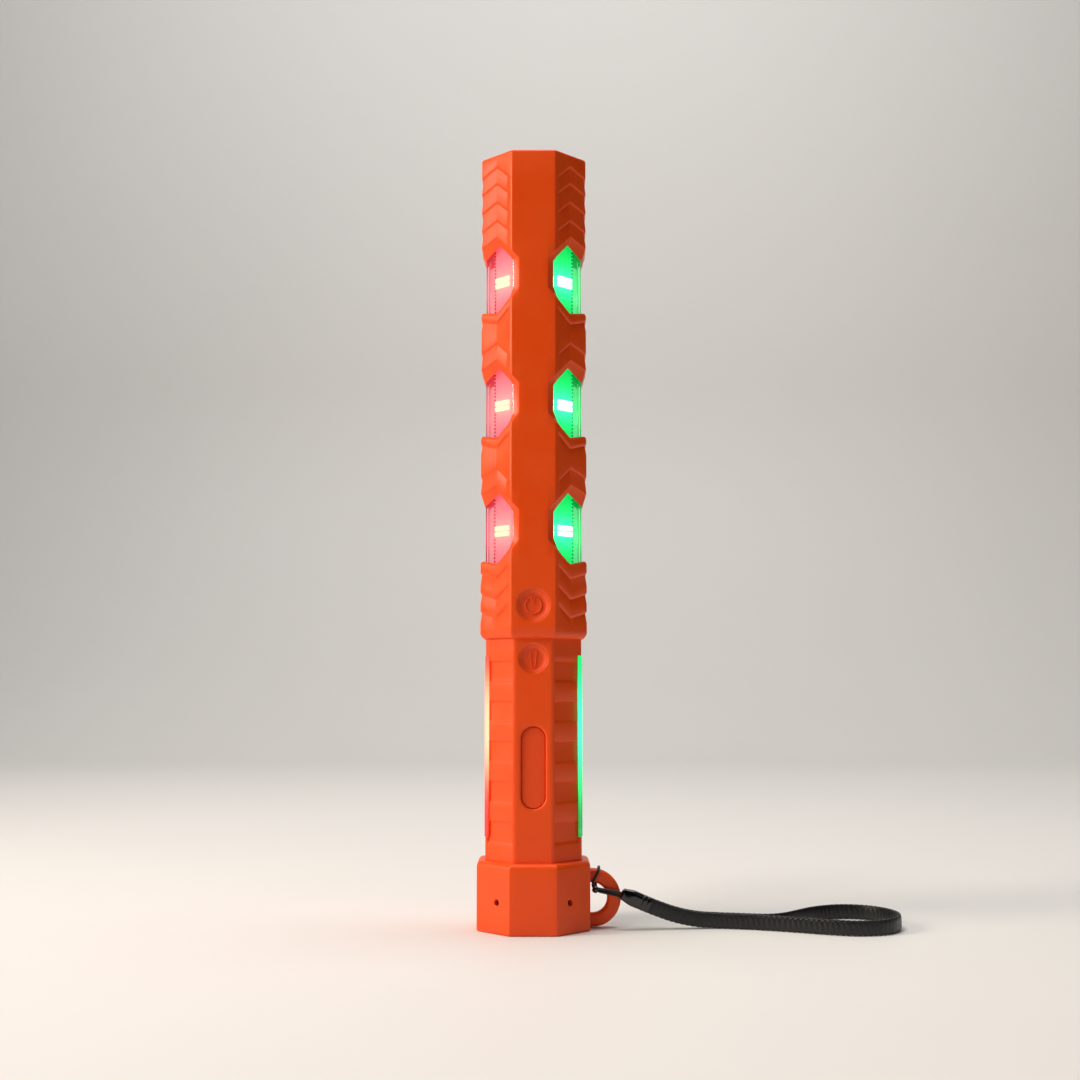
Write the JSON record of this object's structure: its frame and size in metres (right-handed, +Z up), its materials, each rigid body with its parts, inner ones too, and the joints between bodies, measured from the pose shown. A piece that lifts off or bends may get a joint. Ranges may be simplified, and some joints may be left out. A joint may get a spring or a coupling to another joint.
{
  "type": "traffic baton light",
  "caption": "Octagonal hand-held signal light with lit windows in an orange barrel, a ribbed grip with push buttons, a charging cover and a wrist strap on a base ring.",
  "frame": {"origin": "middle of the base's underside, on the barrel's axis", "axes": "+Z up along the barrel, -Y out of the face with the buttons, +X towards the strap ring"},
  "size_m": [0.1673, 0.0444, 0.31],
  "materials": {
    "orange_shell": "moulded ABS with a soft matt coat",
    "orange_silicone": "moulded silicone",
    "clear_plastic": "clear polycarbonate",
    "black_plastic": "moulded",
    "black_gloss": "polished",
    "white_plastic": "moulded",
    "black_rubber": "moulded",
    "light_board": "white solder mask",
    "red_light": "lit",
    "green_light": "lit",
    "white_light": "phosphor",
    "bright_plating": "vacuum plated",
    "steel": "stamped",
    "gold_plate": "plated",
    "dark_steel": "blackened",
    "magnet_nickel": "nickel plated",
    "green_board": "solder mask",
    "cell_wrap": "shrink wrap over a steel can",
    "wire_jacket": "PVC jacket",
    "black_cord": "braided polyester"
  },
  "bodies": {
    "light_body": {"barrel_sleeve": "orange_shell", "barrel_lens": "clear_plastic", "barrel_collar": "black_plastic", "led_core": "white_plastic", "led_board_front_left": "light_board", "led_board_back_left": "light_board", "led_board_front_right": "light_board", "led_board_back_right": "light_board", "leds_front_left": "red_light", "leds_back_left": "red_light", "leds_front_right": "green_light", "leds_back_right": "green_light", "torch_bezel": "black_plastic", "torch_gasket": "black_rubber", "torch_lens": "clear_plastic", "torch_reflector": "bright_plating", "torch_board": "light_board", "torch_led": "white_light", "handle_front_shell": "orange_shell", "handle_back_shell": "orange_shell", "handle_lens_left": "clear_plastic", "handle_lens_right": "clear_plastic", "handle_strip_left": "light_board", "handle_strip_right": "light_board", "handle_leds_left": "red_light", "handle_leds_right": "green_light", "power_switch": "steel", "torch_switch": "steel", "port_cover_root": "orange_silicone", "charge_socket": "steel", "control_board": "green_board", "board_screws": "steel", "battery_cell": "cell_wrap", "battery_cradle": "black_plastic", "battery_spring": "steel", "battery_contact": "gold_plate", "wires": "wire_jacket", "base_cap": "orange_shell", "base_screws": "dark_steel", "base_magnet": "magnet_nickel", "base_pad": "black_rubber", "strap_ring": "orange_shell", "strap_string": "black_cord", "strap_bead": "black_gloss", "strap_ferrule": "black_gloss", "strap_webbing": "black_cord"},
    "power_button": {"power_button": "orange_silicone"},
    "torch_button": {"torch_button": "orange_silicone"},
    "port_cover": {"port_cover": "orange_silicone"}
  },
  "joints": [
    {"name": "power_press", "type": "slide", "parent": "light_body", "child": "power_button", "axis": [0, 1, 0], "range_m": [0, 0.0006], "stiffness_N_per_m": 900, "springref_m": -0.0006},
    {"name": "torch_press", "type": "slide", "parent": "light_body", "child": "torch_button", "axis": [0, 1, 0], "range_m": [0, 0.0006], "stiffness_N_per_m": 900, "springref_m": -0.0006},
    {"name": "port_cover_hinge", "type": "hinge", "parent": "light_body", "child": "port_cover", "pos_m": [0, -0.0181, 0.0524], "axis": [1, 0, 0], "range_deg": [0, 95], "stiffness_Nm_per_rad": 0.004, "springref_deg": -17.19}
  ]
}
